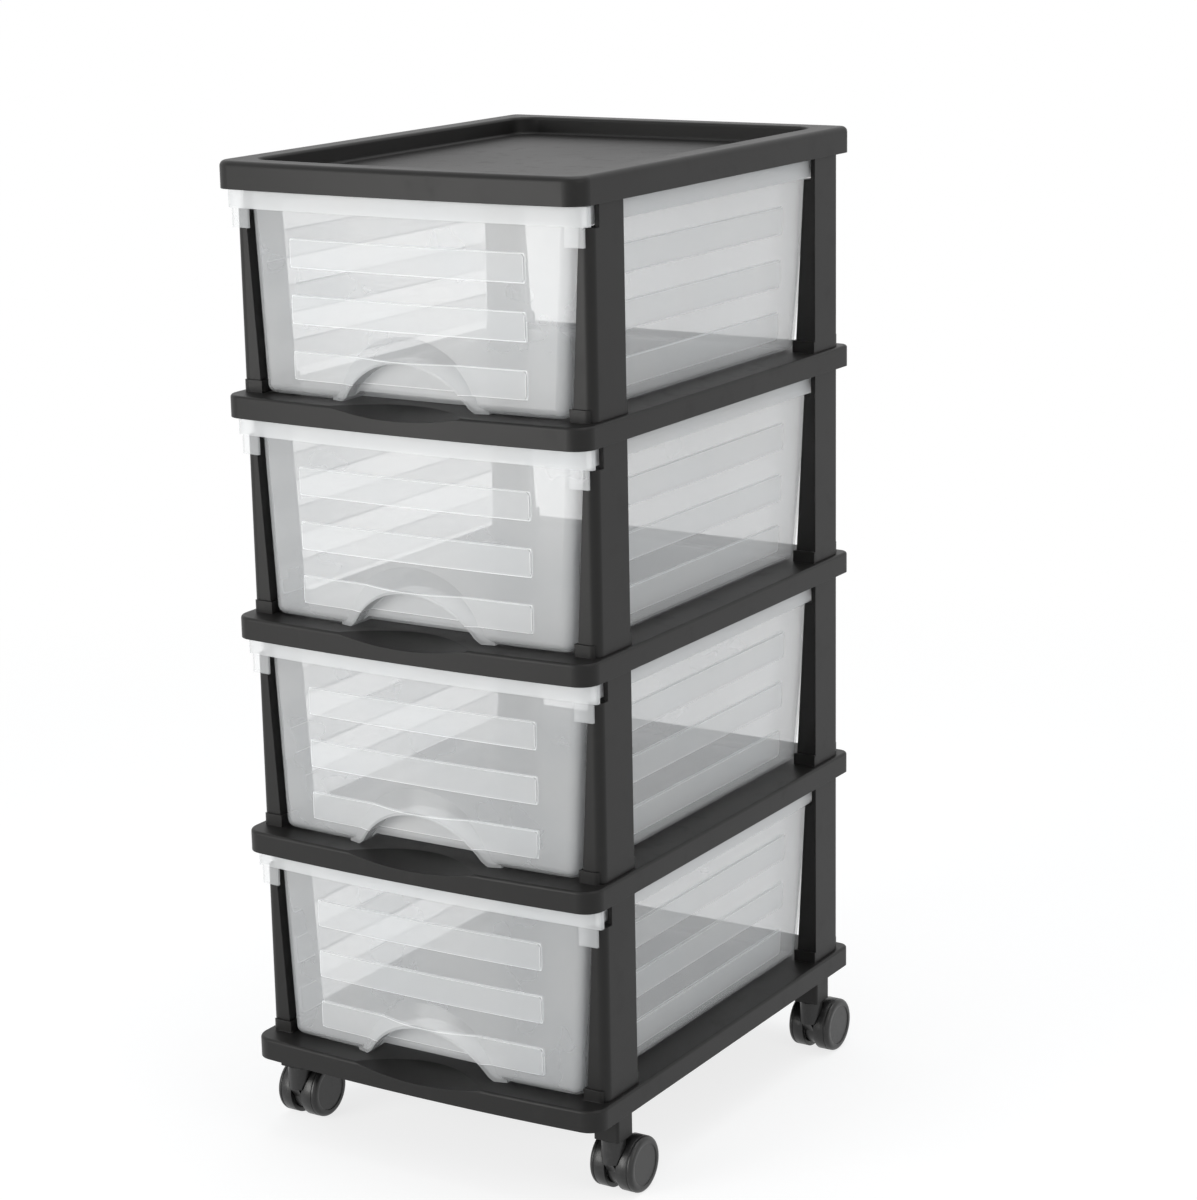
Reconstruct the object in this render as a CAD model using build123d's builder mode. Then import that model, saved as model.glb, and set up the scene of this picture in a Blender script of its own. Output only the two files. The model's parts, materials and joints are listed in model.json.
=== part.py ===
"""Four-drawer plastic tower on twin-wheel casters.

Millimetres, +Z up.  The origin is on the floor under the middle of the tower.
The drawers face -Y.  Each tier is a shelf, four corner posts and one drawer.
"""
import os

from build123d import *

os.makedirs("parts", exist_ok=True)

# ---------------------------------------------------------------- driving sizes
# tower
width = 290.0            # over the skirts of the shelves
depth = 378.0            # from the middle of the bowed front edge to the back edge
front_bow = 5.6          # how far the middle of the front edge stands ahead of its corners
tier_count = 4
tier_pitch = 155.8       # from the lower edge of one skirt to the next
base_clear = 60.0        # from the floor to the lower edge of the base skirt

# shelves, base and top panel
skirt_height = 15.5
top_height = 18.8
plate = 2.2
skirt_wall = 2.2
front_corner = 14.0
back_corner = 7.5
edge_round = 2.0
top_edge_round = 4.0
tray_rim = 19.0
tray_depth = 13.0
tray_corner = 16.0
rib_thick = 1.6
rib_deep = 7.0
ribs_along = 3           # ribs that run front to back
ribs_across = 4
scoop_width = 112.0
scoop_drop = 6.0
scoop_reach = 27.0       # from the front edge to where the scoop runs out

# corner posts
post_inset = 3.5         # outer side face, inside the edge of the shelf
post_front = 18.0        # front face, behind the corners of the shelf's front edge
post_back = 11.5
post_wall = 2.2
foot_width = 16.0        # across the front face at the foot
head_width = 9.0         # across the front face at the head
front_post_reach = 40.5  # depth of a front post's side face
rear_post_reach = 38.0
post_corner = 6.5
tab_thick = 3.4          # the tab that carries the shelf above
front_tab_back = 10.5    # the front tab starts this far behind the post's face
tab_grip = 7.5           # how far a tab enters the shelf above
tab_root = 25.0
wedge_drop = 1.5         # from the drawer's rim down to the head of a post's column
seat_gap = 0.15          # between a post and its sockets
socket_lift = 1.5        # from a skirt's lower edge up to the tab sockets
collar_wall = 1.5
collar_height = 8.5

# drawers
drawer_floor_gap = 0.4
drawer_head_gap = 1.0
drawer_wall = 1.8
side_gap_foot = 3.8      # from a post's inner side to the drawer, at the foot
side_gap_head = 3.4
front_set_back = 17.6    # front wall, behind the shelf's front edge
back_foot_gap = 39.0     # back wall at the foot, ahead of the shelf's back edge
back_head_gap = 23.0
drawer_corner = 9.0
drawer_bottom_round = 6.5
rim_height = 13.0
rim_wall = 1.6
rim_reach = 7.0          # the rim stands out this far from the side wall
flange_ahead = 4.8       # the front flange stands out this far from the front wall
flange_side_gap = 2.0    # from the flange's ends to the edge of the shelf
flange_post_gap = 0.8
flange_round = 1.5
ear_width = 14.1         # the ears hang from the flange near its ends
ear_end_gap = 3.4
ear_drop = 13.2
ear_wall = 2.0
panel_height = 19.0
panel_proud = 0.7        # the raised panels stand this far out of the walls
panel_round = 3.0
panel_rows = 3
front_panel_gap = 28.7   # the front panels stop short of the drawer's sides at its foot
side_panel_front = 16.0  # the side panels stop short of the drawer's ends
side_panel_back = 34.0

# finger pull in the lower edge of each drawer front
pull_half = 60.0
pull_height = 47.0
pull_ahead = 7.0
pocket_half = 51.0
pocket_height = 30.0
pocket_deep = 9.0
notch_foot_half = 53.5
notch_head_half = 44.5
notch_height = 6.5
notch_deep = 24.0

# casters
caster_side_inset = 11.0 # from the sides of the base to the casters' stems
caster_end_inset = 43.0
boss_side = 20.0
boss_foot = 43.0         # lower end of the boss above the floor
wheel_radius = 20.0
wheel_width = 12.4
wheel_gap = 9.2          # between the two wheels of a caster
wheel_round = 5.0
wheel_dish = 0.6
wheel_dish_radius = 12.5
wheel_hub_radius = 7.0
wheel_rim_thick = 3.5
wheel_core_deep = 7.0
caster_trail = 14.0
web_thick = 7.6
web_radius = 16.5
neck_radius = 8.5
neck_length = 17.0
swivel_gap = 0.3
fender_gap = 0.8
axle_radius = 3.0
axle_cover = 2.4         # wheel left over the end of the axle
axle_end_gap = 0.3
stem_radius = 4.0
stem_grip = 11.0         # length of stem in the housing
stem_reach = 23.0        # length of stem above the housing
stem_groove = 0.6
socket_wall = 1.6
socket_flange = 1.4
socket_flange_thick = 0.8
running_gap = 0.05
fit_gap = 0.02

# ---------------------------------------------------------------- worked-out sizes
half_width = width / 2
half_depth = depth / 2
front_radius = (half_width**2 + front_bow**2) / (2 * front_bow)
front_centre = -half_depth + front_radius
corner_front_y = -half_depth + front_bow
levels = [base_clear + tier_pitch * tier for tier in range(tier_count + 1)]

post_out = half_width - post_inset
post_front_y = corner_front_y + post_front
post_back_y = half_depth - post_back
foot_in = post_out - foot_width
head_in = post_out - head_width
rim_top = tier_pitch - drawer_head_gap
rim_foot = rim_top - rim_height
wedge_top = rim_foot - wedge_drop          # measured from the tier's skirt edge
front_tab = (post_front_y + front_tab_back, post_front_y + front_post_reach)
rear_tab = (post_back_y - rear_post_reach, post_back_y)

drawer_foot = skirt_height + drawer_floor_gap
drawer_height = rim_top - drawer_foot
drawer_half_foot = foot_in - side_gap_foot
drawer_half_head = head_in - side_gap_head
drawer_back_foot = half_depth - back_foot_gap
drawer_back_head = half_depth - back_head_gap
rim_half = drawer_half_head + rim_reach
rib_foot = skirt_height - plate - rib_deep
flange_half = half_width - flange_side_gap
caster_x = half_width - caster_side_inset
caster_y = half_depth - caster_end_inset
socket_radius = stem_radius + running_gap + socket_wall
socket_length = stem_reach + socket_wall + running_gap
housing_head = boss_foot - socket_flange_thick - swivel_gap


def front_y(x, set_back=0.0):
    """The bowed front line, set back from the front edge, at a distance x from the middle."""
    radius = front_radius - set_back
    return front_centre - (radius**2 - x**2) ** 0.5


def plan(half, back, set_back, front_round, back_round):
    """A plan outline with a bowed front, straight sides and a straight back."""
    corner = front_y(half, set_back)
    with BuildSketch() as outline:
        with BuildLine():
            ThreePointArc((-half, corner), (0, front_y(0, set_back)), (half, corner))
            Polyline((half, corner), (half, back), (-half, back), (-half, corner))
        make_face()
        ends = outline.vertices().group_by(Axis.Y)
        fillet(ends[-1], back_round)
        fillet(outline.vertices().sort_by(Axis.Y)[:2], front_round)
    return outline.sketch


def shelf_plan(inset):
    """The shelf's plan outline, drawn in by an inset."""
    return plan(
        half_width - inset,
        half_depth - inset,
        inset,
        front_corner - inset,
        back_corner - inset,
    )


# ---------------------------------------------------------------- corner posts
def block(x_low, y_low, x_high, y_high):
    """A rectangle from corner to corner."""
    with BuildSketch() as face:
        with BuildLine():
            Polyline((x_low, y_low), (x_high, y_low), (x_high, y_high), (x_low, y_high), close=True)
        make_face()
    return face.sketch


def post_span(at_front):
    """First and last Y of a post's side face."""
    if at_front:
        return post_front_y, post_front_y + front_post_reach
    return post_back_y - rear_post_reach, post_back_y


def post_plan(at_front, inner, inset):
    """The plan of a right-hand post from its inner side, drawn in by an inset."""
    first, last = post_span(at_front)
    with BuildSketch() as outline:
        add(block(inner + inset, first + inset, post_out - inset, last - inset))
        outer = outline.vertices().sort_by(Axis.X)[-2:].sort_by(Axis.Y)
        fillet(outer[:1] if at_front else outer[-1:], post_corner - inset)
    return outline.sketch


def post_column(at_front, inset, head):
    """The tapering column of a right-hand post, drawn in by an inset."""
    with BuildPart() as column:
        for inner, height in ((foot_in, skirt_height), (head_in, head)):
            with BuildSketch(Plane.XY.offset(height)):
                add(post_plan(at_front, inner, inset))
        loft()
    return column.part


def tab_plan(at_front, grow):
    """The plan of the tab at a right-hand post's head, grown sideways for its socket."""
    first, last = front_tab if at_front else rear_tab
    return block(post_out - tab_thick - grow, first - grow, post_out + grow, last + grow)


def make_post(at_front):
    """A right-hand post, standing on a shelf whose skirt edge is at height 0."""
    with BuildPart() as post:
        add(post_column(at_front, 0, wedge_top))
        with BuildSketch(Plane.XY.offset(wedge_top - tab_root)):
            add(tab_plan(at_front, 0))
            add(post_plan(at_front, head_in, 0), mode=Mode.INTERSECT)
        extrude(amount=tier_pitch + tab_grip - wedge_top + tab_root)
        add(post_column(at_front, post_wall, wedge_top - post_wall), mode=Mode.SUBTRACT)
    return post.part


SIDES = (("right", 1), ("left", -1))
ENDS = (("front", True), ("back", False))


def on_both_sides(face):
    """A right-hand face and its mirror image."""
    return face + mirror(face, about=Plane.YZ)


# ---------------------------------------------------------------- shelves, base and top panel
def collar_plan(at_front):
    """The plan of the rim round a right-hand post's foot, open on its outer side."""
    first, last = post_span(at_front)
    grow = seat_gap + collar_wall
    with BuildSketch() as rim:
        add(block(foot_in - grow, first - grow, post_out, last + grow))
        outer = rim.vertices().sort_by(Axis.X)[-2:].sort_by(Axis.Y)
        fillet(outer[:1] if at_front else outer[-1:], post_corner)
        add(block(foot_in - seat_gap, first - seat_gap, half_width, last + seat_gap), mode=Mode.SUBTRACT)
    return rim.sketch


def collars():
    """Four raised rims that hold the feet of the posts; the shelf's top face is at height 0."""
    with BuildPart() as rims:
        for _, at_front in ENDS:
            with BuildSketch():
                add(on_both_sides(collar_plan(at_front)))
            extrude(amount=collar_height)
    return rims.part


def tab_sockets(head):
    """Four blocks under a shelf, up to a height, that hold the tabs of the posts below."""
    with BuildPart() as sockets:
        for _, at_front in ENDS:
            with BuildSketch(Plane.XY.offset(socket_lift)):
                add(on_both_sides(tab_plan(at_front, seat_gap + collar_wall)))
            extrude(amount=head - socket_lift)
            with BuildSketch():
                add(on_both_sides(tab_plan(at_front, seat_gap)))
            extrude(amount=tab_grip + seat_gap, mode=Mode.SUBTRACT)
    return sockets.part


def ribs(foot, head):
    """The grid of ribs under a shelf, between two heights."""
    with BuildPart() as grid:
        for place in range(ribs_along):
            x = width * ((place + 1) / (ribs_along + 1) - 0.5)
            first = front_y(x) + skirt_wall / 2
            with BuildSketch(Plane.XY.offset(foot)):
                add(block(x - rib_thick / 2, first, x + rib_thick / 2, half_depth - skirt_wall / 2))
            extrude(amount=head - foot)
        for place in range(ribs_across):
            y = depth * ((place + 1) / (ribs_across + 1) - 0.5)
            reach = half_width - skirt_wall / 2
            with BuildSketch(Plane.XY.offset(foot)):
                add(block(-reach, y - rib_thick / 2, reach, y + rib_thick / 2))
            extrude(amount=head - foot)
    return grid.part


def scoop_roller(grow):
    """The leaning roller that dishes a shelf's front ledge, grown for the wall under it."""
    radius = ((scoop_width / 2) ** 2 + scoop_drop**2) / (2 * scoop_drop)
    lean = Vector(0, scoop_reach, scoop_drop).normalized()
    up = Vector(0, -lean.Z, lean.Y)
    start = Vector(0, -half_depth, skirt_height - scoop_drop)
    with BuildPart() as roller:
        with BuildSketch(Plane(origin=start + up * radius - lean * scoop_reach, x_dir=(1, 0, 0), z_dir=lean)):
            Circle(radius + grow)
        extrude(amount=3 * scoop_reach)
    return roller.part


def scoop_backing():
    """The wall under the scoop."""
    half = scoop_width / 2 + edge_round
    back = -half_depth + scoop_reach
    with BuildPart() as backing:
        with BuildSketch(Plane.XY.offset(rib_foot)):
            add(block(-half, front_y(half) + edge_round / 2, half, back))
        extrude(amount=skirt_height - plate / 2 - rib_foot)
        add(scoop_roller(plate), mode=Mode.INTERSECT)
    return backing.part


def make_shelf(is_base):
    """A shelf, or the base with its caster bosses, with its skirt edge at height 0."""
    with BuildPart() as shelf:
        with BuildSketch():
            add(shelf_plan(0))
        extrude(amount=skirt_height)
        fillet(shelf.edges().group_by(Axis.Z)[-1], edge_round)
        with BuildSketch():
            add(shelf_plan(skirt_wall))
        extrude(amount=skirt_height - plate, mode=Mode.SUBTRACT)
        add(ribs(rib_foot, skirt_height - plate / 2))
        add(scoop_backing())
        add(scoop_roller(0), mode=Mode.SUBTRACT)
        add(collars().moved(Pos(0, 0, skirt_height)))
        if is_base:
            with BuildSketch(Plane.XY.offset(boss_foot - base_clear)):
                with GridLocations(2 * caster_x, 2 * caster_y, 2, 2):
                    RectangleRounded(boss_side, boss_side, edge_round)
            extrude(amount=skirt_height - plate / 2 - boss_foot + base_clear)
            with BuildSketch(Plane.XY.offset(boss_foot - base_clear)):
                with GridLocations(2 * caster_x, 2 * caster_y, 2, 2):
                    Circle(socket_radius + fit_gap)
            extrude(amount=socket_length, mode=Mode.SUBTRACT)
        else:
            add(tab_sockets(skirt_height - plate / 2))
            for _, at_front in ENDS:
                with BuildSketch():
                    add(on_both_sides(tab_plan(at_front, seat_gap)))
                extrude(amount=tab_grip + seat_gap, mode=Mode.SUBTRACT)
    return shelf.part


def make_top():
    """The top panel: a tray inside a raised, hollow rim, with its skirt edge at height 0."""
    tray_floor = top_height - tray_depth
    with BuildPart() as top:
        with BuildSketch():
            add(shelf_plan(0))
        extrude(amount=top_height)
        fillet(top.edges().group_by(Axis.Z)[-1], top_edge_round)
        with BuildSketch(Plane.XY.offset(tray_floor)):
            add(tray_plan(0))
        extrude(amount=tray_depth, mode=Mode.SUBTRACT)
        inner = top.edges().filter_by_position(Axis.X, -half_width + tray_rim - 1, half_width - tray_rim + 1)
        fillet(inner.group_by(Axis.Z)[-1], edge_round)
        floor_loop = top.faces().filter_by(Plane.XY).filter_by_position(Axis.Z, tray_floor, tray_floor)
        fillet(floor_loop.edges(), edge_round)
        with BuildSketch():
            add(shelf_plan(skirt_wall))
        extrude(amount=tray_floor - plate, mode=Mode.SUBTRACT)
        with BuildSketch():
            add(shelf_plan(skirt_wall))
            add(tray_plan(plate), mode=Mode.SUBTRACT)
        extrude(amount=top_height - plate, mode=Mode.SUBTRACT)
        add(ribs(socket_lift, tray_floor - plate / 2))
        add(tab_sockets(tab_grip + plate))
        for _, at_front in ENDS:
            with BuildSketch():
                add(on_both_sides(tab_plan(at_front, seat_gap)))
            extrude(amount=tab_grip + seat_gap, mode=Mode.SUBTRACT)
    return top.part


def tray_plan(grow):
    """The plan of the tray's recess, grown for the wall round it."""
    inset = tray_rim - grow
    return plan(half_width - inset, half_depth - inset, inset, tray_corner + grow, tray_corner + grow)


# ---------------------------------------------------------------- drawers
def drawer_plan(share, inset):
    """The drawer body's plan, drawn in by an inset; share is 0 at the foot and 1 at the head."""
    half = drawer_half_foot + share * (drawer_half_head - drawer_half_foot)
    back = drawer_back_foot + share * (drawer_back_head - drawer_back_foot)
    corner = drawer_corner - inset
    return plan(half - inset, back - inset, front_set_back + inset, corner, corner)


def drawer_body(inset, foot, bottom_round):
    """The drawer's tapering body, drawn in by an inset, from a height up to the rim."""
    with BuildPart() as body:
        for height in (foot, drawer_height):
            with BuildSketch(Plane.XY.offset(height)):
                add(drawer_plan(height / drawer_height, inset))
        loft(ruled=True)
        if bottom_round:
            fillet(body.edges().group_by(Axis.Z)[0], bottom_round)
    return body.part


def rim_plan(inset):
    """The plan of the rim, drawn in by an inset."""
    set_back = front_set_back - flange_ahead + inset
    back = drawer_back_head + rim_reach - inset
    return plan(rim_half - inset, back, set_back, drawer_corner, drawer_corner + rim_reach - inset)


def flange_plan():
    """The plan of the flange that runs past the rim in front of the posts."""
    back = post_front_y - flange_post_gap
    return plan(flange_half, back, front_set_back - flange_ahead, flange_round, flange_round)


def ear_plan():
    """The plans of the two ears that hang from the flange in front of the posts."""
    outer = flange_half - ear_end_gap
    with BuildSketch() as ear:
        add(flange_plan())
        add(flange_plan().moved(Pos(0, ear_wall, 0)), mode=Mode.SUBTRACT)
        add(block(outer - ear_width, -half_depth, outer, 0), mode=Mode.INTERSECT)
    return on_both_sides(ear.sketch)


def arch(half, height):
    """An arch over a straight sill, seen from the front."""
    with BuildSketch() as face:
        with BuildLine():
            ThreePointArc((-half, 0), (0, height), (half, 0))
            Line((-half, 0), (half, 0))
        make_face()
    return face.sketch


def front_plane(y):
    """An upright plane that faces the front, with its origin on the drawer's foot."""
    return Plane(origin=(0, y, 0), x_dir=(1, 0, 0), z_dir=(0, -1, 0))


def pull_bulge(inset):
    """The arched bulge over the finger pocket, drawn in by an inset.

    Its lip leans forward from the wall's foot.  Its root lies behind the wall and is
    larger, so that the bulge meets the wall in an arch of the named size.
    """
    wall_y = front_y(0, front_set_back)
    root_y = front_y(pull_half, front_set_back) + drawer_wall
    lip_half = pocket_half + drawer_wall
    lip_height = pocket_height + drawer_wall
    spread = (root_y - wall_y) / pull_ahead
    root_half = pull_half + spread * (pull_half - lip_half) - 2 * inset
    root_height = pull_height + spread * (pull_height - lip_height) - 2 * inset
    lean = Vector(0, -pull_ahead, lip_height).normalized()
    out = Vector(0, -lean.Z, lean.Y)
    with BuildPart() as bulge:
        with BuildSketch(front_plane(root_y)):
            add(arch(root_half, root_height))
        with BuildSketch(Plane(origin=(0, wall_y + inset, 0), x_dir=(1, 0, 0), z_dir=out)):
            add(arch(lip_half - inset / 2, (lip_height - inset / 2) / lean.Z))
        loft()
        with BuildSketch(front_plane(root_y)):
            add(arch(root_half, root_height))
        extrude(amount=-drawer_bottom_round)
    return bulge.part


def finger_pocket(grow):
    """The hollow behind the bulge's lip and the notch under it, grown for their walls."""
    wall_y = front_y(0, front_set_back)
    reach = pull_ahead + drawer_wall
    with BuildPart() as pocket:
        with BuildSketch(front_plane(wall_y - reach)):
            add(arch(pocket_half + grow, pocket_height + grow))
        extrude(amount=-reach - pocket_deep - grow)
        with BuildSketch(front_plane(wall_y - reach)):
            with BuildLine():
                Polyline(
                    (-notch_foot_half - grow, 0),
                    (notch_foot_half + grow, 0),
                    (notch_head_half + grow, notch_height + grow),
                    (-notch_head_half - grow, notch_height + grow),
                    close=True,
                )
            make_face()
        extrude(amount=-reach - notch_deep - grow)
    return pocket.part


def raised_panels():
    """Rounded panels that stand proud of the front and side walls."""
    side_first = front_y(0, front_set_back) + side_panel_front
    side_last = drawer_back_foot - side_panel_back
    side_long = side_last - side_first
    front_long = 2 * (drawer_half_foot - front_panel_gap)
    with BuildPart() as panels:
        for row in range(panel_rows):
            middle = drawer_height - rim_height - (2 * row + 1.5) * panel_height
            with BuildSketch(front_plane(side_first)):
                with Locations((0, middle)):
                    RectangleRounded(front_long, panel_height, panel_round)
            extrude(amount=half_depth + side_first)
            with BuildSketch(Plane.YZ.offset(-half_width)):
                with Locations((side_first + side_long / 2, middle)):
                    RectangleRounded(side_long, panel_height, panel_round)
            extrude(amount=width)
        add(drawer_body(-panel_proud, 0, 0), mode=Mode.INTERSECT)
    return panels.part


def make_drawer():
    """A drawer that stands on height 0."""
    body = drawer_body(0, 0, drawer_bottom_round)
    with BuildPart() as channel:
        with BuildSketch(Plane.XY.offset(drawer_height - rim_height)):
            add(rim_plan(rim_wall))
        extrude(amount=rim_height - rim_wall)
        add(body, mode=Mode.SUBTRACT)
    with BuildPart() as hollow:
        add(drawer_body(drawer_wall, drawer_wall, drawer_bottom_round - drawer_wall))
        add(pull_bulge(drawer_wall))
        add(finger_pocket(drawer_wall), mode=Mode.SUBTRACT)
        with BuildSketch(Plane.XY.offset(-drawer_wall)):
            add(block(-half_width, -half_depth, half_width, half_depth))
        extrude(amount=2 * drawer_wall, mode=Mode.SUBTRACT)
    with BuildPart() as drawer:
        add(body)
        add(raised_panels())
        with BuildSketch(Plane.XY.offset(drawer_height - rim_height)):
            add(rim_plan(0) + flange_plan())
        extrude(amount=rim_height)
        with BuildSketch(Plane.XY.offset(drawer_height - rim_height - ear_drop)):
            add(ear_plan())
        extrude(amount=ear_drop + rim_wall)
        add(pull_bulge(0))
        add(channel.part, mode=Mode.SUBTRACT)
        add(hollow.part, mode=Mode.SUBTRACT)
        add(finger_pocket(0), mode=Mode.SUBTRACT)
    return drawer.part


# ---------------------------------------------------------------- casters
def make_wheel():
    """The outboard wheel of a right-hand caster: its axle line is the X axis."""
    inner = wheel_gap / 2
    outer = inner + wheel_width
    with BuildPart() as wheel:
        with BuildSketch() as half_section:
            with BuildLine():
                Polyline(
                    (outer - axle_cover, 0),
                    (outer - wheel_dish, 0),
                    (outer - wheel_dish, wheel_dish_radius),
                    (outer, wheel_dish_radius + wheel_dish),
                    (outer, wheel_radius),
                    (inner, wheel_radius),
                    (inner, wheel_radius - wheel_rim_thick),
                    (inner + wheel_core_deep, wheel_radius - wheel_rim_thick),
                    (inner + wheel_core_deep, wheel_hub_radius),
                    (inner, wheel_hub_radius),
                    (inner, axle_radius + running_gap),
                    (outer - axle_cover, axle_radius + running_gap),
                    close=True,
                )
            make_face()
            tread = half_section.vertices().group_by(Axis.Y)[-1].sort_by(Axis.X)
            fillet(tread[-1:], wheel_round)
            fillet(tread[:1], wheel_round / 4)
        revolve(axis=Axis.X)
    return wheel.part.moved(Pos(0, caster_trail, wheel_radius))


def make_axle():
    """The axle shared by the two wheels of a caster."""
    reach = wheel_gap / 2 + wheel_width - axle_cover - axle_end_gap
    with BuildPart() as axle:
        with BuildSketch(Plane.YZ.offset(-reach)):
            Circle(axle_radius)
        extrude(amount=2 * reach)
        chamfer(axle.edges().filter_by(GeomType.CIRCLE), axle_radius / 8)
    return axle.part.moved(Pos(0, caster_trail, wheel_radius))


def make_housing():
    """The caster's swivelling body: a neck with a fender lip, and a web between the wheels."""
    fender_radius = wheel_radius + fender_gap
    with BuildPart() as housing:
        with BuildSketch(Plane.XY.offset(housing_head)):
            Circle(neck_radius)
        extrude(amount=-neck_length)
        with BuildSketch(Plane.YZ.offset(web_thick / 2)):
            with Locations((caster_trail, wheel_radius)):
                Circle(fender_radius)
        extrude(amount=neck_radius, mode=Mode.SUBTRACT)
        with BuildSketch(Plane.YZ.offset(-web_thick / 2)):
            with Locations((caster_trail, wheel_radius)):
                Circle(fender_radius)
        extrude(amount=-neck_radius, mode=Mode.SUBTRACT)
        with BuildSketch(Plane.YZ.offset(-web_thick / 2)):
            with Locations((caster_trail, wheel_radius)):
                Circle(web_radius)
            with BuildLine():
                Polyline(
                    (-neck_radius * 0.9, housing_head - neck_length),
                    (caster_trail - web_radius * 0.5, wheel_radius - web_radius * 0.8),
                    (caster_trail + web_radius * 0.9, wheel_radius + web_radius * 0.4),
                    (neck_radius * 0.9, housing_head - fender_gap),
                    (-neck_radius * 0.9, housing_head - fender_gap),
                    close=True,
                )
            make_face()
        extrude(amount=web_thick)
        with BuildSketch(Plane.XY.offset(housing_head)):
            Circle(stem_radius + fit_gap)
        extrude(amount=-stem_grip, mode=Mode.SUBTRACT)
        with BuildSketch(Plane.YZ.offset(-neck_radius)):
            with Locations((caster_trail, wheel_radius)):
                Circle(axle_radius + fit_gap)
        extrude(amount=2 * neck_radius, mode=Mode.SUBTRACT)
    return housing.part


def make_stem():
    """The caster's steel stem, with a snap groove near its upper end."""
    with BuildPart() as stem:
        with BuildSketch(Plane.XY.offset(housing_head - stem_grip)):
            Circle(stem_radius)
        extrude(amount=stem_grip + stem_reach)
        chamfer(stem.edges().group_by(Axis.Z)[-1], stem_radius / 4)
        with BuildSketch(Plane.XY.offset(housing_head + stem_reach - 2 * stem_radius)):
            Circle(stem_radius)
            Circle(stem_radius - stem_groove, mode=Mode.SUBTRACT)
        extrude(amount=stem_radius / 2, mode=Mode.SUBTRACT)
    return stem.part


def make_socket():
    """The plastic socket in the base's boss that the stem turns in."""
    with BuildPart() as socket:
        with BuildSketch(Plane.XY.offset(boss_foot)):
            Circle(socket_radius)
        extrude(amount=socket_length)
        with BuildSketch(Plane.XY.offset(boss_foot)):
            Circle(socket_radius + socket_flange)
        extrude(amount=-socket_flange_thick)
        with BuildSketch(Plane.XY.offset(boss_foot - socket_flange_thick)):
            Circle(stem_radius + running_gap)
        extrude(amount=socket_length + socket_flange_thick - socket_wall, mode=Mode.SUBTRACT)
    return socket.part


# ---------------------------------------------------------------- the tower
def hand_in(part, name, place):
    """Put a piece in its place, name it and write its file."""
    piece = part.moved(place)
    piece.label = name
    export_step(piece, f"parts/{name}.step")


base = make_shelf(True)
shelf = make_shelf(False)
top_panel = make_top()
drawer = make_drawer()
hand_in(base, "base", Pos(0, 0, levels[0]))
hand_in(top_panel, "top_panel", Pos(0, 0, levels[-1]))
for tier in range(1, tier_count):
    hand_in(shelf, f"shelf_{tier}", Pos(0, 0, levels[tier]))
for tier in range(tier_count):
    hand_in(drawer, f"drawer_{tier + 1}", Pos(0, 0, levels[tier] + drawer_foot))

for end, at_front in ENDS:
    right_post = make_post(at_front)
    for side, sign in SIDES:
        post = right_post if sign > 0 else mirror(right_post, about=Plane.YZ)
        for tier in range(tier_count):
            hand_in(post, f"post_{end}_{side}_{tier + 1}", Pos(0, 0, levels[tier]))

outer_wheel = make_wheel()
inner_wheel = mirror(outer_wheel, about=Plane.YZ)
axle = make_axle()
housing = make_housing()
stem = make_stem()
socket = make_socket()
for end, at_front in ENDS:
    for side, sign in SIDES:
        place = Pos(sign * caster_x, -caster_y if at_front else caster_y, 0)
        hand_in(outer_wheel, f"wheel_right_{end}_{side}", place)
        hand_in(inner_wheel, f"wheel_left_{end}_{side}", place)
        hand_in(axle, f"wheel_axle_{end}_{side}", place)
        hand_in(housing, f"caster_body_{end}_{side}", place)
        hand_in(stem, f"caster_stem_{end}_{side}", place)
        hand_in(socket, f"caster_socket_{end}_{side}", place)
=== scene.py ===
# %% [markdown]
# # A plastic drawer tower
#
# The real thing is an upright store for craft supplies: four see-through drawers between black
# shelves on corner posts, a tray for a top and four small twin-wheel casters. Everything is injection
# moulded, so its looks come from three things: thin milky walls that let light through, black satin
# plastic that only shows by its reflections, and soft moulded edges.
#
# The rigid model comes first. It is loaded as a frame of named solids in metres, and every piece
# made here rides on one of its bodies, so that the drawers still slide and the casters still swivel.

# %% Load the frame
import json
import math

import bmesh
import bpy
from mathutils import Matrix, Vector


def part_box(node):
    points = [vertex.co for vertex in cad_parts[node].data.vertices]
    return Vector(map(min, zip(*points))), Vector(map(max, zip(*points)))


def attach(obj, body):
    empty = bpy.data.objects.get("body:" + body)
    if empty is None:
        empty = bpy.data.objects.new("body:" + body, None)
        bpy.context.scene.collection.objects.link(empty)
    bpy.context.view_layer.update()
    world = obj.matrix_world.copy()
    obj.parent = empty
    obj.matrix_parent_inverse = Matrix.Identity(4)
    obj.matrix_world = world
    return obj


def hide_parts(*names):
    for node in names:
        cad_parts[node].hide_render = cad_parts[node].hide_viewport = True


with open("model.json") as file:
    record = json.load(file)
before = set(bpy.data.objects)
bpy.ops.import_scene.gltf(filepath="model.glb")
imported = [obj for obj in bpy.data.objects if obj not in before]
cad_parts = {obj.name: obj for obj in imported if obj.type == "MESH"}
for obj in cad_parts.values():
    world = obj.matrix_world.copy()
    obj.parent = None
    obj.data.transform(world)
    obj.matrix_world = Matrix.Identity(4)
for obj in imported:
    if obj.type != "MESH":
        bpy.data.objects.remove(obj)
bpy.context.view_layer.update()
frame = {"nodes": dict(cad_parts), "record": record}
nodes = frame["nodes"]
bpy.ops.object.select_all(action="DESELECT")
MM = 0.001


# %% [markdown]
# ## A small language for materials
#
# A finish is a sum: a colour, plus a little noise, minus a little more. Blender writes sums as Math
# nodes, which are slow to read, so a socket is wrapped in a class whose operators add those nodes.
# Every other node goes through one method that takes its type, its settings and its sockets' values.

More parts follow.
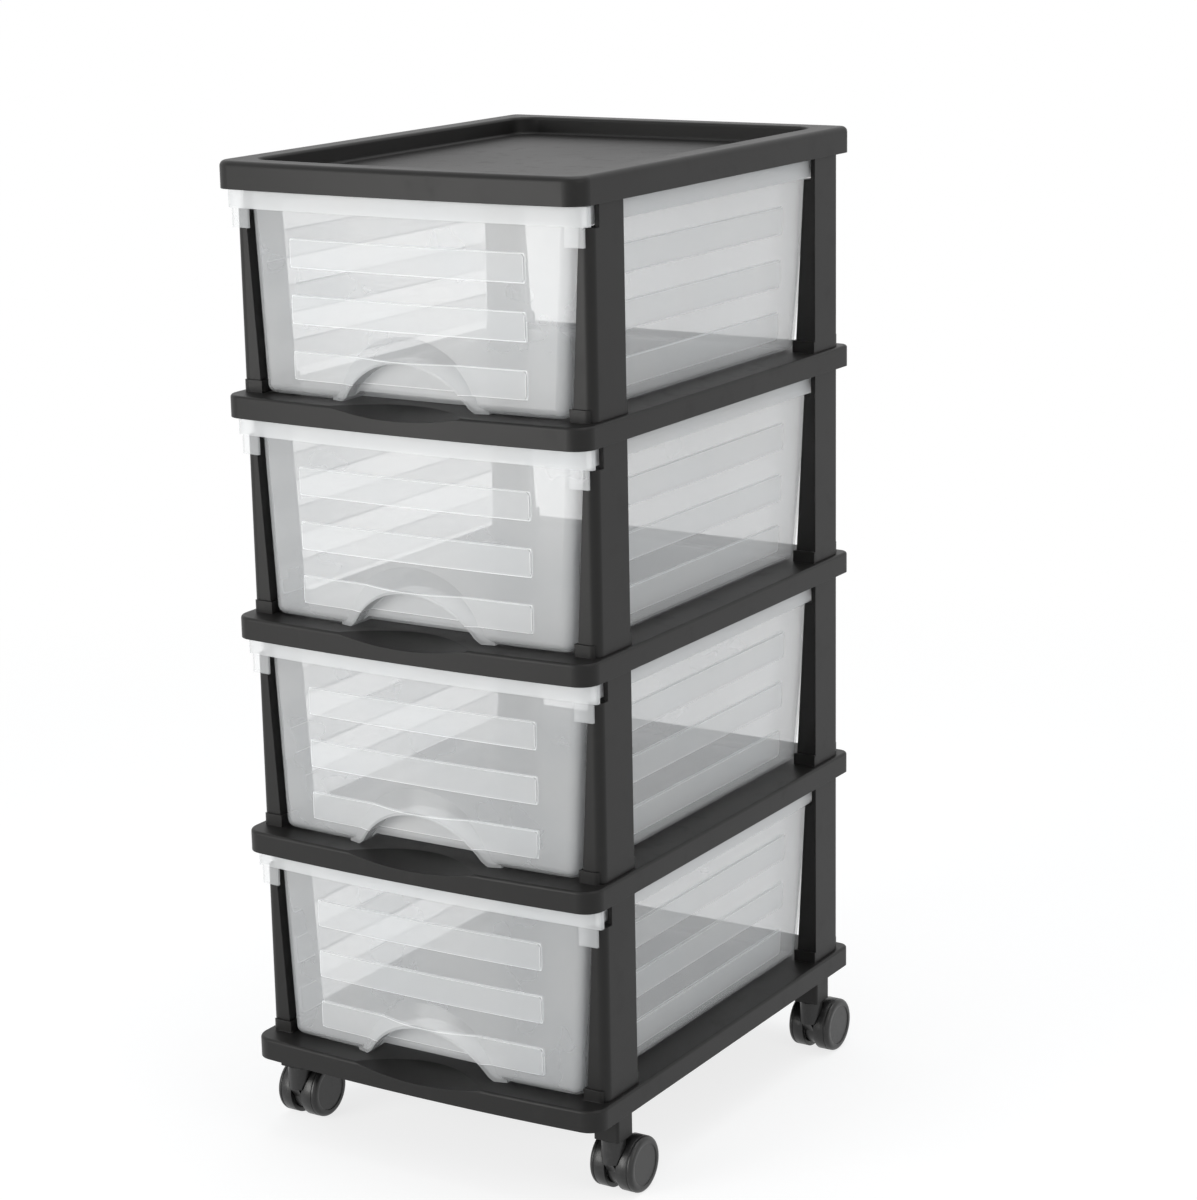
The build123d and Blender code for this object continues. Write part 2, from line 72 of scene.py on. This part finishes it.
# %% Sockets that add up
class Socket:
    """A node's output that can be used in sums."""

    def __init__(self, finish, link):
        self.finish = finish
        self.link = link

    def _sum(self, operation, first, second=0.0):
        return self.finish.add("ShaderNodeMath", {"operation": operation}, {0: first, 1: second})

    def __add__(self, other):
        return self._sum("ADD", self, other)

    def __radd__(self, other):
        return self._sum("ADD", other, self)

    def __sub__(self, other):
        return self._sum("SUBTRACT", self, other)

    def __rsub__(self, other):
        return self._sum("SUBTRACT", other, self)

    def __mul__(self, other):
        return self._sum("MULTIPLY", self, other)

    def __rmul__(self, other):
        return self._sum("MULTIPLY", other, self)

    def __truediv__(self, other):
        return self._sum("DIVIDE", self, other)

    def __gt__(self, other):
        return self._sum("GREATER_THAN", self, other)

    def __lt__(self, other):
        return self._sum("LESS_THAN", self, other)

    def __mod__(self, other):
        return self._sum("FLOORED_MODULO", self, other)

    def __abs__(self):
        return self._sum("ABSOLUTE", self)


class Finish:
    """A material that is built up node by node."""

    def __init__(self, name):
        self.material = bpy.data.materials.new(name)
        self.material.use_nodes = True
        self.tree = self.material.node_tree
        self.tree.nodes.clear()

    def add(self, kind, settings=None, values=None, out=0):
        """A node, with its settings made first and its sockets then filled or linked."""
        node = self.tree.nodes.new(kind)
        for key, value in (settings or {}).items():
            setattr(node, key, value)
        for key, value in (values or {}).items():
            if isinstance(value, Socket):
                self.tree.links.new(value.link, node.inputs[key])
            else:
                node.inputs[key].default_value = value
        return Socket(self, node.outputs[out]) if node.outputs else None

    def place(self):
        """The place on the piece, in metres, which stays with the piece as it moves."""
        return self.add("ShaderNodeTexCoord", out="Object")

    def noise(self, size, detail=2.0, rough=0.5):
        """Noise whose lumps are about this size in metres."""
        values = {"Vector": self.place(), "Scale": 1 / size, "Detail": detail, "Roughness": rough}
        return self.add("ShaderNodeTexNoise", {}, values)

    def span(self, value, low, high, start=0.0, end=1.0):
        """The value's range from low to high, mapped to start to end."""
        values = {"Value": value, "From Min": low, "From Max": high, "To Min": start, "To Max": end}
        return self.add("ShaderNodeMapRange", {}, values)

    def blend(self, share, first, second):
        """A colour between two colours."""
        node = self.tree.nodes.new("ShaderNodeMix")
        node.data_type = "RGBA"
        for key, value in ((0, share), (6, first), (7, second)):
            if isinstance(value, Socket):
                self.tree.links.new(value.link, node.inputs[key])
            else:
                node.inputs[key].default_value = value
        return Socket(self, node.outputs[2])

    def bump(self, height, depth, normal=None):
        """A normal from a height field, with its depth in metres."""
        values = {"Height": height, "Distance": depth, "Strength": 1.0}
        if normal:
            values["Normal"] = normal
        return self.add("ShaderNodeBump", {}, values)

    def soft_edges(self, radius):
        """A normal that runs round the edges as if they had this radius."""
        return self.add("ShaderNodeBevel", {"samples": 4}, {"Radius": radius})

    def surface(self, **values):
        """The main shader, with socket names written with underscores."""
        named = {key.replace("_", " "): value for key, value in values.items()}
        shader = self.add("ShaderNodeBsdfPrincipled", {}, named)
        self.add("ShaderNodeOutputMaterial", {}, {"Surface": shader})
        return self.material


def grey(level, blue=0.0):
    """A neutral colour, a touch colder where blue is above nought."""
    return (level, level + blue / 2, level + blue, 1.0)


# %% [markdown]
# ## Black frame plastic
#
# Shelves and posts are black polypropylene with a fine spark-eroded grain. Black plastic has hardly
# any colour of its own, so the finish is nearly all gloss: a broad, satin reflection, broken up by the
# grain, a little uneven where hands and dust have been, and a thin bright line on each moulded edge.

# %% Frame plastic
def frame_plastic():
    """Black satin plastic with a fine grain and soft moulded edges."""
    finish = Finish("frame_plastic")
    patches = finish.noise(90 * MM, 3.0)
    dust = finish.noise(14 * MM, 4.0, 0.6)
    grain = finish.noise(0.55 * MM, 1.0)
    scuffs = finish.span(dust, 0.55, 0.8)
    colour = finish.blend(scuffs * 0.5 + patches * 0.2, grey(0.0085, -0.0006), grey(0.0165, -0.0008))
    return finish.surface(
        Base_Color=colour,
        Roughness=0.38 + patches * 0.08 + scuffs * 0.08 + grain * 0.04,
        Specular_IOR_Level=0.29,
        Normal=finish.bump(grain, 0.035 * MM, finish.soft_edges(0.7 * MM)),
    )


# %% [markdown]
# ## Milky drawer plastic
#
# The drawers are clear polypropylene, which is never quite clear: it is a milky white that lets
# about half of the light through. The raised panels are frosted in the mould, and the strips between
# them are polished, so the strips let more through. Real refraction in such thin walls only adds
# noise, so the walls are a white surface with an alpha, lower in the polished strips.

# %% Drawer plastic
TIER_PITCH = 155.8 * MM
PANEL_HEIGHT = 19 * MM          # the walls go in rows of this height: clear, frosted, clear, ...
FRONT_PANEL_HALF = 93 * MM
SIDE_PANEL_FRONT = -155.4 * MM
SIDE_PANEL_BACK = 116 * MM
PANEL_ROWS = 6                  # three clear and three frosted
RIM_HEIGHT = 13 * MM
GLINT_LINE_HALF_WIDTH = 0.35 * MM           # half the width of the painted highlight line along a panel's edge
drawer_foot, drawer_head = (corner.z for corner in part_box("drawer_1"))
panel_head = drawer_head - drawer_foot - RIM_HEIGHT
last_row_foot = panel_head - PANEL_ROWS * PANEL_HEIGHT
print("lowest row starts", round(last_row_foot / MM, 1), "mm above the drawer's foot")


def drawer_plastic():
    """Milky walls with frosted panels, a frosted rim and a painted highlight: a more opaque white line
    round each panel.
    """
    finish = Finish("drawer_plastic")
    x, y, z = (finish.add("ShaderNodeSeparateXYZ", {}, {0: finish.place()}, out=n) for n in range(3))
    height = (z - drawer_foot) % TIER_PITCH
    row = ((height - last_row_foot) / PANEL_HEIGHT) % 2.0
    in_rows = (height > last_row_foot) * (height < panel_head)
    on_front = (abs(x) < FRONT_PANEL_HALF) * (y < SIDE_PANEL_FRONT)
    on_side = (y > SIDE_PANEL_FRONT) * (y < SIDE_PANEL_BACK)
    panel = (row < 1.0) * in_rows * (on_front + on_side)
    rim = height > panel_head
    haze = finish.noise(60 * MM, 3.0)
    # Painted highlight: a thin line of higher alpha along the panels' edges lets more of the white show,
    # standing in for light caught by the edges.
    row_edge_glint = abs(((height - last_row_foot) / PANEL_HEIGHT) % 1.0 - 0.5) > 0.5 - GLINT_LINE_HALF_WIDTH / PANEL_HEIGHT
    end = (abs(abs(x) - FRONT_PANEL_HALF) < GLINT_LINE_HALF_WIDTH) * (y < SIDE_PANEL_FRONT) * (row < 1.0)
    edge = (row_edge_glint * (on_front + on_side) + end) * in_rows
    frosted = panel + rim
    return finish.surface(
        Base_Color=finish.blend(haze, (0.90, 0.925, 0.945, 1.0), (0.945, 0.945, 0.94, 1.0)),
        Roughness=0.16 + frosted * 0.16 + haze * 0.06,
        Specular_IOR_Level=0.5,
        # edge adds the painted highlight line round each panel.
        Alpha=0.26 + panel * 0.14 + rim * 0.20 + edge * 0.42 + haze * 0.04,
    )


# %% [markdown]
# ## Caster plastic and steel
#
# The casters are a harder black nylon, a shade glossier than the shelves. The stem and the axle are
# plated steel with fine uneven marks on them.

# %% Caster plastic and plated steel
def caster_plastic():
    """Harder black plastic with a little dust on it."""
    finish = Finish("caster_plastic")
    dust = finish.noise(4 * MM, 4.0, 0.6)
    grain = finish.noise(0.4 * MM, 1.0)
    scuffs = finish.span(dust, 0.5, 0.75)
    return finish.surface(
        Base_Color=finish.blend(scuffs, grey(0.012), grey(0.024)),
        Roughness=0.30 + scuffs * 0.14 + grain * 0.05,
        Normal=finish.bump(grain, 0.02 * MM, finish.soft_edges(0.4 * MM)),
    )


def plated_steel():
    """Bright steel with fine uneven marks."""
    finish = Finish("plated_steel")
    marks = finish.noise(0.3 * MM, 2.0)
    patches = finish.noise(5 * MM, 3.0)
    return finish.surface(
        Base_Color=finish.blend(patches, grey(0.50), grey(0.62, 0.01)),
        Metallic=1.0,
        Roughness=0.24 + marks * 0.14,
        Normal=finish.bump(marks, 0.01 * MM),
    )


finishes = {
    "frame_plastic": frame_plastic(),
    "drawer_plastic": drawer_plastic(),
    "caster_plastic": caster_plastic(),
    "steel": plated_steel(),
}
slot_of = {part["node"]: part["material_slot"] for part in frame["record"]["subparts"]}
for name, node in nodes.items():
    node.data.materials.clear()
    node.data.materials.append(finishes[slot_of[name]])
print("finishes", sorted(finishes))


# %% [markdown]
# ## Caster wheels
#
# A caster wheel is a moulded disc with a rounded tread, a fine parting groove near its outer edge, a
# shallow dish in the face that shows and a deep recess round a hub on the face that does not. It could
# be spun from a profile, but a wheel that starts as a cylinder keeps its flat faces, and most features
# are then one inset and one push, as on the moulded part. One wheel is made, and the others are copies
# that are moved, or turned half round for the other side of the caster.

# %% Helpers for edit mode
def pick(piece, kind, test):
    """Select the faces or edges that pass a test, and nothing else."""
    bpy.ops.mesh.select_mode(type=kind)
    bpy.ops.mesh.select_all(action="DESELECT")
    mesh = bmesh.from_edit_mesh(piece.data)
    for item in mesh.faces if kind == "FACE" else mesh.edges:
        if test(item):
            item.select_set(True)
    bmesh.update_edit_mesh(piece.data)


def spread(item):
    """The nearest and farthest of an item's corners from the wheel's axle line."""
    reaches = [math.hypot(corner.co.y, corner.co.z) for corner in item.verts]
    return min(reaches), max(reaches)


def push(distance):
    """Extrude the selected faces along the X axis."""
    bpy.ops.mesh.extrude_region_move(TRANSFORM_OT_translate={"value": (distance, 0, 0)})


# %% The first wheel
WHEEL_SIDES = 96
TREAD_ROUND = 3.0 * MM
GROOVE_FROM_ROUND = 0.4 * MM
GROOVE_WIDTH = 0.6 * MM
GROOVE_DEPTH = 0.5 * MM
DISH_LIP = 2.2 * MM             # flat ring between the round of the tread and the dish
DISH_DEPTH = 0.6 * MM
DISH_BORDER = 0.5 * MM
RIM_WALL = 3.5 * MM
RECESS_DEPTH = 7.0 * MM
HUB_RADIUS = 7.0 * MM
AXLE_HOLE_RADIUS = 3.05 * MM
AXLE_HOLE_DEPTH = 10.0 * MM
PICK_SLACK = 0.1 * MM
SOFT_EDGE = 0.25 * MM
first_low, first_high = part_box("wheel_right_front_left")
wheel_radius = (first_high.z - first_low.z) / 2
half_thick = (first_high.x - first_low.x) / 2

bpy.ops.object.select_all(action="DESELECT")
bpy.ops.mesh.primitive_cylinder_add(
    vertices=WHEEL_SIDES, radius=wheel_radius, depth=2 * half_thick, rotation=(0, math.pi / 2, 0))
wheel = bpy.context.object
wheel.name = "caster_wheel"
bpy.ops.object.transform_apply(location=True, rotation=True, scale=True)
bpy.ops.object.mode_set(mode="EDIT")


def is_cap(side):
    """A test for the flat faces that look along the X axis on one side."""
    return lambda face: face.normal.x * side > 0.9 and len(face.verts) > 4


pick(wheel, "EDGE", lambda edge: all(corner.co.x > half_thick * 0.99 for corner in edge.verts))
bpy.ops.mesh.bevel(offset=TREAD_ROUND, segments=7, profile=0.5, affect="EDGES")
groove_outer = half_thick - TREAD_ROUND - GROOVE_FROM_ROUND
for plane in (groove_outer, groove_outer - GROOVE_WIDTH):
    bpy.ops.mesh.select_all(action="SELECT")
    bpy.ops.mesh.bisect(plane_co=(plane, 0, 0), plane_no=(1, 0, 0))
groove_middle = groove_outer - GROOVE_WIDTH / 2
pick(wheel, "FACE", lambda face: abs(face.calc_center_median().x - groove_middle) < GROOVE_WIDTH / 4)
bpy.ops.mesh.extrude_region_shrink_fatten(TRANSFORM_OT_shrink_fatten={"value": -GROOVE_DEPTH})
print("wheel radius", round(wheel_radius / MM, 2), "mm, groove at", round(groove_middle / MM, 2), "mm")

# %% The face that shows: a plain dish that covers the axle
pick(wheel, "FACE", is_cap(1))
bpy.ops.mesh.inset(thickness=DISH_LIP, depth=0)
push(-DISH_DEPTH)
bpy.ops.mesh.inset(thickness=DISH_BORDER, depth=0)
dish_radius = wheel_radius - TREAD_ROUND - DISH_LIP
print("dish radius", round(dish_radius / MM, 2), "mm")

# %% The hidden face: a recess round the hub, and the hole for the axle
pick(wheel, "FACE", is_cap(-1))
bpy.ops.mesh.inset(thickness=RIM_WALL, depth=0)
recess_reach = wheel_radius - RIM_WALL
bpy.ops.mesh.inset(thickness=recess_reach - HUB_RADIUS, depth=0)


def in_recess(face):
    """The ring of four-sided faces between the rim and the hub, without the hub's own end."""
    nearest, farthest = spread(face)
    between = nearest > HUB_RADIUS - PICK_SLACK and farthest < recess_reach + PICK_SLACK
    return face.normal.x < -0.9 and len(face.verts) == 4 and between


pick(wheel, "FACE", in_recess)
push(RECESS_DEPTH)
pick(wheel, "FACE", is_cap(-1))
bpy.ops.mesh.inset(thickness=HUB_RADIUS - AXLE_HOLE_RADIUS, depth=0)
push(AXLE_HOLE_DEPTH)
print("plastic left over the axle", round((2 * half_thick - AXLE_HOLE_DEPTH) / MM, 2), "mm")

# %% Soft edges and smooth shading
bpy.ops.mesh.select_all(action="SELECT")
bpy.ops.mesh.normals_make_consistent(inside=False)
bpy.ops.object.mode_set(mode="OBJECT")
edges = wheel.modifiers.new("soft_edges", "BEVEL")
edges.width = SOFT_EDGE
edges.segments = 2
edges.limit_method = "ANGLE"
edges.angle_limit = math.radians(50)
bpy.ops.object.modifier_apply(modifier=edges.name)
bpy.ops.object.shade_smooth_by_angle(angle=math.radians(35))
print("first wheel", len(wheel.data.polygons), "faces")

# %% The eight wheels
for end in ("front", "back"):
    for side in ("left", "right"):
        for hand, turn in (("right", 0.0), ("left", math.pi)):
            node = f"wheel_{hand}_{end}_{side}"
            low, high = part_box(node)
            copy = bpy.data.objects.new(f"rolling_{node}", wheel.data.copy())
            bpy.context.collection.objects.link(copy)
            copy.data.transform(Matrix.Translation((low + high) / 2) @ Matrix.Rotation(turn, 4, "Z"))
            copy.data.materials.append(finishes["caster_plastic"])
            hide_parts(node)
            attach(copy, node)
bpy.data.objects.remove(wheel)


# %% [markdown]
# ## Floor, light and camera
#
# The stage is a pale floor with soft studio light. Black satin plastic needs something to mirror, so a
# large soft box stands in front on the left and lights the fronts of the shelves, while the right-hand
# sides get only a weaker lamp and stay darker. A third lamp hangs overhead. The world is white to the
# camera and in reflections. To everything else it is a dim, even light from all round, which is what
# makes the milky walls glow.

# %% Floor
SEEN_RAYS = ("Is Camera Ray", "Is Glossy Ray", "Is Transmission Ray")
FLOOR_SIZE = 12.0
FADE_START = 0.5                # metres from the tower's middle
FADE_END = 1.6
NEAR_GLOW = 0.77                # the white that is always there
NEAR_SHADE = 0.32               # the grey paper under it, which the tower's shadow darkens


def floor_white():
    """White paper that keeps the tower's soft shadow and runs out into the white of the room."""
    finish = Finish("floor_white")
    fleck = finish.noise(0.3)
    paper = finish.add("ShaderNodeBsdfDiffuse", {}, {"Color": finish.blend(fleck, grey(0.78), grey(0.80))})
    shade = finish.add("ShaderNodeBsdfDiffuse", {}, {"Color": grey(NEAR_SHADE)})
    lit = finish.add("ShaderNodeEmission", {}, {"Color": grey(1.0), "Strength": NEAR_GLOW})
    near = finish.add("ShaderNodeAddShader", {}, {0: shade, 1: lit})
    far = finish.add("ShaderNodeEmission", {}, {"Color": grey(1.0), "Strength": 1.0})
    length = finish.add("ShaderNodeVectorMath", {"operation": "LENGTH"}, {0: finish.place()}, out=1)
    fade = finish.span(length, FADE_START, FADE_END)
    seen = finish.add("ShaderNodeMixShader", {}, {0: fade, 1: near, 2: far})
    rays = [finish.add("ShaderNodeLightPath", out=name) for name in SEEN_RAYS]
    shown = finish.add("ShaderNodeMixShader", {}, {0: rays[0] + rays[1] + rays[2], 1: paper, 2: seen})
    finish.add("ShaderNodeOutputMaterial", {}, {"Surface": shown})
    return finish.material


bpy.ops.mesh.primitive_plane_add(size=FLOOR_SIZE, location=(0, 0, 0))
floor = bpy.context.object
floor.name = "floor"
floor.data.materials.append(floor_white())
print("floor", tuple(round(v, 2) for v in floor.dimensions))


# %% World
ROOM_LIGHT = 0.50
world = bpy.data.worlds.new("studio")
bpy.context.scene.world = world
world.use_nodes = True
tree = world.node_tree
tree.nodes.clear()
rays = tree.nodes.new("ShaderNodeLightPath")
white = tree.nodes.new("ShaderNodeBackground")
white.inputs["Color"].default_value = (1, 1, 1, 1)
white.inputs["Strength"].default_value = 1.0
room = tree.nodes.new("ShaderNodeBackground")
room.inputs["Color"].default_value = (0.94, 0.97, 1.0, 1)
room.inputs["Strength"].default_value = ROOM_LIGHT
choice = tree.nodes.new("ShaderNodeMixShader")
output = tree.nodes.new("ShaderNodeOutputWorld")
share = rays.outputs[SEEN_RAYS[0]]
for name in SEEN_RAYS[1:]:
    total = tree.nodes.new("ShaderNodeMath")
    tree.links.new(share, total.inputs[0])
    tree.links.new(rays.outputs[name], total.inputs[1])
    share = total.outputs[0]
tree.links.new(share, choice.inputs[0])
tree.links.new(room.outputs[0], choice.inputs[1])
tree.links.new(white.outputs[0], choice.inputs[2])
tree.links.new(choice.outputs[0], output.inputs["Surface"])
print("world", world.name, "lights the tower at", ROOM_LIGHT)


# %% Lamps
def soft_box(name, place, aim, width, height, power, tint=(1, 1, 1)):
    """A large soft lamp at a place, turned towards another."""
    bpy.ops.object.light_add(type="AREA", location=place)
    lamp = bpy.context.object
    lamp.name = name
    lamp.data.shape = "RECTANGLE"
    lamp.data.size = width
    lamp.data.size_y = height
    lamp.data.energy = power
    lamp.data.color = tint
    lamp.rotation_euler = (Vector(aim) - Vector(place)).to_track_quat("-Z", "Y").to_euler()
    return lamp


middle = (0, 0, 0.35)           # half the tower's height
soft_box("key", (-0.77, -1.74, 0.58), (0, -0.17, 0.45), 0.9, 1.1, 17.5, (1.0, 0.99, 0.97))
soft_box("fill_right", (2.4, -0.6, 1.5), middle, 1.2, 1.2, 7, (1.0, 0.96, 0.90))
soft_box("overhead", (0.2, 0.3, 2.6), middle, 1.6, 1.6, 16)

# %% Camera
PHOTO_SIZE = (1197, 1200)
FOCAL_PIXELS = 3058.67
CAMERA_PLACE = Vector((1154.17, -1803.48, 905.88)) * MM
AZIMUTH = math.radians(31.709)
ELEVATION = math.radians(13.964)
ROLL = math.radians(-1.0836)
SENSOR = 36.0

back = Vector((
    math.sin(AZIMUTH) * math.cos(ELEVATION),
    -math.cos(AZIMUTH) * math.cos(ELEVATION),
    math.sin(ELEVATION),
))
level_right = (-back).cross(Vector((0, 0, 1))).normalized()
level_up = level_right.cross(-back)
right = level_right * math.cos(ROLL) + level_up * math.sin(ROLL)
up = level_up * math.cos(ROLL) - level_right * math.sin(ROLL)
bpy.ops.object.camera_add(location=CAMERA_PLACE)
camera = bpy.context.object
camera.name = "camera"
camera.data.sensor_width = SENSOR
camera.data.lens = FOCAL_PIXELS * SENSOR / max(PHOTO_SIZE)
camera.data.clip_start = 0.05
camera.data.clip_end = 50.0
camera.rotation_mode = "QUATERNION"
camera.rotation_quaternion = Matrix((right, up, back)).transposed().to_quaternion()
bpy.context.scene.camera = camera
bpy.context.scene.view_settings.view_transform = "Standard"
print("lens", round(camera.data.lens, 2), "mm")
